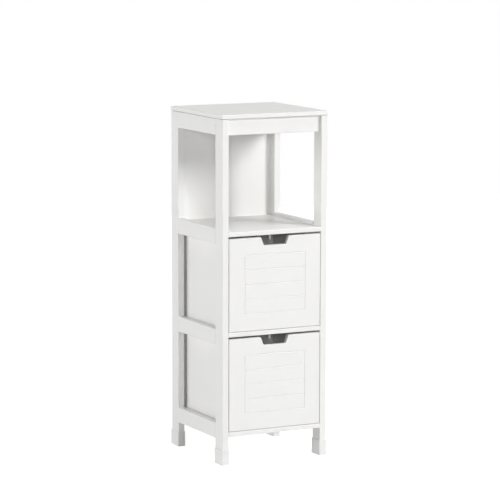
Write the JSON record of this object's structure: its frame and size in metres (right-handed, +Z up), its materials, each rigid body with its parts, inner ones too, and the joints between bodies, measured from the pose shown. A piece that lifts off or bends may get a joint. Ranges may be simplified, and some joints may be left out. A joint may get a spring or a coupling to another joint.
{
  "type": "bathroom cabinet",
  "caption": "Narrow free-standing bathroom cabinet with an open shelf above pull-out drawers, post-and-rail sides and finger notches in the drawer fronts.",
  "frame": {"origin": "centre of the footprint, on the floor", "axes": "+Z up, -Y to the front, +X to the right as seen from the front"},
  "size_m": [0.302, 0.302, 0.89],
  "materials": {
    "painted_frame": "white satin paint",
    "painted_board": "white satin paint",
    "painted_front": "white satin paint",
    "painted_box": "white satin paint",
    "thin_panel": "white painted hardboard",
    "foot_cap": "white moulded plastic",
    "stop_peg": "white moulded plastic",
    "cam_fitting": "zinc plated"
  },
  "bodies": {
    "cabinet": {"front_left_post": "painted_frame", "front_right_post": "painted_frame", "rear_left_post": "painted_frame", "rear_right_post": "painted_frame", "left_top_rail": "painted_frame", "left_shelf_rail": "painted_frame", "left_divider_rail": "painted_frame", "left_bottom_rail": "painted_frame", "right_top_rail": "painted_frame", "right_shelf_rail": "painted_frame", "right_divider_rail": "painted_frame", "right_bottom_rail": "painted_frame", "front_apron": "painted_frame", "top_board": "painted_board", "shelf_board": "painted_board", "drawer_divider": "painted_board", "bottom_board": "painted_board", "upper_closing_block": "painted_board", "lower_closing_block": "painted_board", "back_panel": "thin_panel", "upper_drawer_stop": "stop_peg", "lower_drawer_stop": "stop_peg", "front_left_foot_cap": "foot_cap", "front_right_foot_cap": "foot_cap", "rear_left_foot_cap": "foot_cap", "rear_right_foot_cap": "foot_cap", "cam_bolts": "cam_fitting", "cam_locks": "cam_fitting"},
    "upper_drawer": {"upper_drawer_front": "painted_front", "upper_drawer_left_side": "painted_box", "upper_drawer_right_side": "painted_box", "upper_drawer_back": "painted_box", "upper_drawer_bottom": "thin_panel"},
    "lower_drawer": {"lower_drawer_front": "painted_front", "lower_drawer_left_side": "painted_box", "lower_drawer_right_side": "painted_box", "lower_drawer_back": "painted_box", "lower_drawer_bottom": "thin_panel"}
  },
  "joints": [
    {"name": "upper_drawer_slide", "type": "slide", "parent": "cabinet", "child": "upper_drawer", "axis": [0, -1, 0], "range_m": [0, 0.202]},
    {"name": "lower_drawer_slide", "type": "slide", "parent": "cabinet", "child": "lower_drawer", "axis": [0, -1, 0], "range_m": [0, 0.202]}
  ]
}
